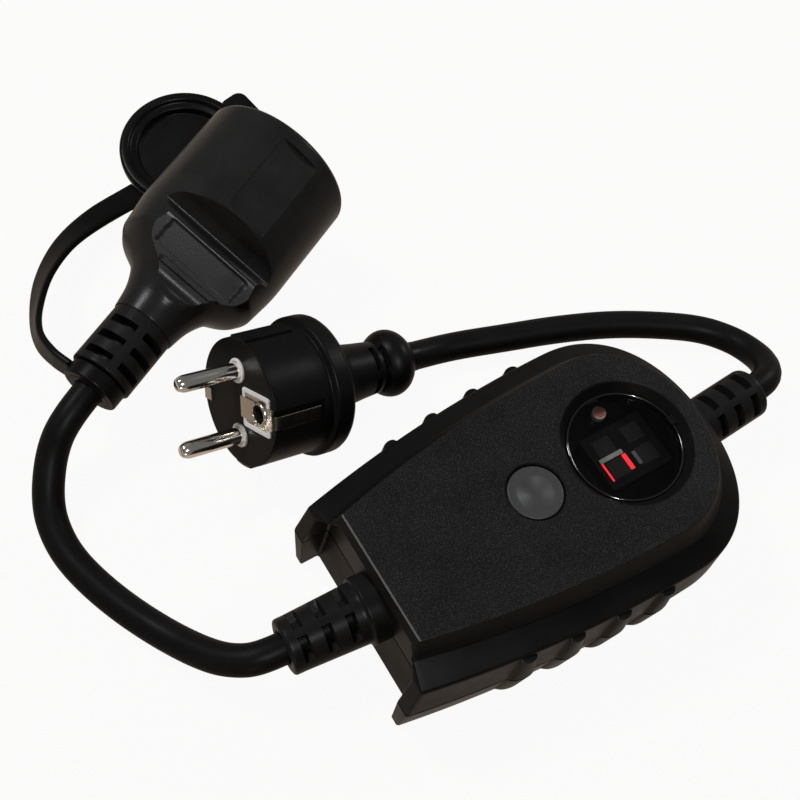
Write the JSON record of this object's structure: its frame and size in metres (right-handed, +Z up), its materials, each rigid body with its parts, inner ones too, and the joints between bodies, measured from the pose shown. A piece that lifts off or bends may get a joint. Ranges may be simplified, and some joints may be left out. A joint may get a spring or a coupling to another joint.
{
  "type": "dusk sensor plug adapter",
  "caption": "Outdoor dusk-sensing timer housing with a lens, display and push button, a short plug lead at one end and a coupler lead with strapped sealing cap at the other.",
  "frame": {"origin": "on the surface that the housing stands on, under the middle of the housing without its leads", "axes": "+X along the housing from the two horns to the round end with the lens, +Z up out of the top face with the button, +Y across to the side where the plug and coupler lie"},
  "size_m": [0.2212, 0.2281, 0.0507],
  "materials": {
    "housing": "fine speckled grain",
    "button": "satin",
    "window": "smoked, glossy",
    "seal": "matte",
    "steel": "zinc plated",
    "display": "satin, with red and grey segments",
    "sensor": "ceramic with a red-brown track",
    "board": "solder mask",
    "inner": "plain",
    "white": "satin",
    "relief": "matte moulded",
    "cable": "matte rubber sheath",
    "plug": "satin moulded",
    "nickel": "polished nickel",
    "coupler": "matte moulded",
    "brass": "plain",
    "cap": "matte moulded"
  },
  "bodies": {
    "housing": {"upper_housing": "housing", "lower_housing": "housing", "housing_seal": "seal", "housing_screws": "steel", "lens_window": "window", "window_seal": "seal", "photoresistor": "sensor", "led_display": "display", "display_board": "board", "circuit_board": "board", "board_spacers": "white", "pin_header": "inner", "relay": "inner", "film_capacitor": "inner", "varistor": "inner", "fuse": "inner", "terminal_blocks": "inner", "button_switch": "inner", "mouth_strain_relief": "relief", "end_strain_relief": "relief", "cable_ends": "cable", "plug_body": "plug", "plug_pins": "nickel", "pin_collars": "white", "earth_plate": "nickel", "earth_plate_frame": "white", "earth_clips": "nickel", "coupler_body": "coupler", "socket_insert": "coupler", "contact_sleeves": "brass", "earth_springs": "nickel", "coupler_strain_relief": "relief", "plug_lead": "cable", "coupler_lead": "cable"},
    "button": {"push_button": "button", "switch_plunger": "inner"},
    "strap": {"cap_strap": "cap"},
    "cap": {"sealing_cap": "cap"}
  },
  "joints": [
    {"name": "button_press", "type": "slide", "parent": "housing", "child": "button", "axis": [0, 0, -1], "range_m": [0, 0.0008], "stiffness_N_per_m": 2000},
    {"name": "strap_swivel", "type": "hinge", "parent": "housing", "child": "strap", "pos_m": [-0.08617, 0.09267, 0.02026], "axis": [0.8897, 0.4515, 0.0682], "range_deg": [0, 100]},
    {"name": "cap_hinge", "type": "hinge", "parent": "strap", "child": "cap", "pos_m": [-0.04095, 0.16002, 0.00268], "axis": [0.3604, -0.9311, -0.0555], "range_deg": [-30, 4], "stiffness_Nm_per_rad": 0.05}
  ]
}
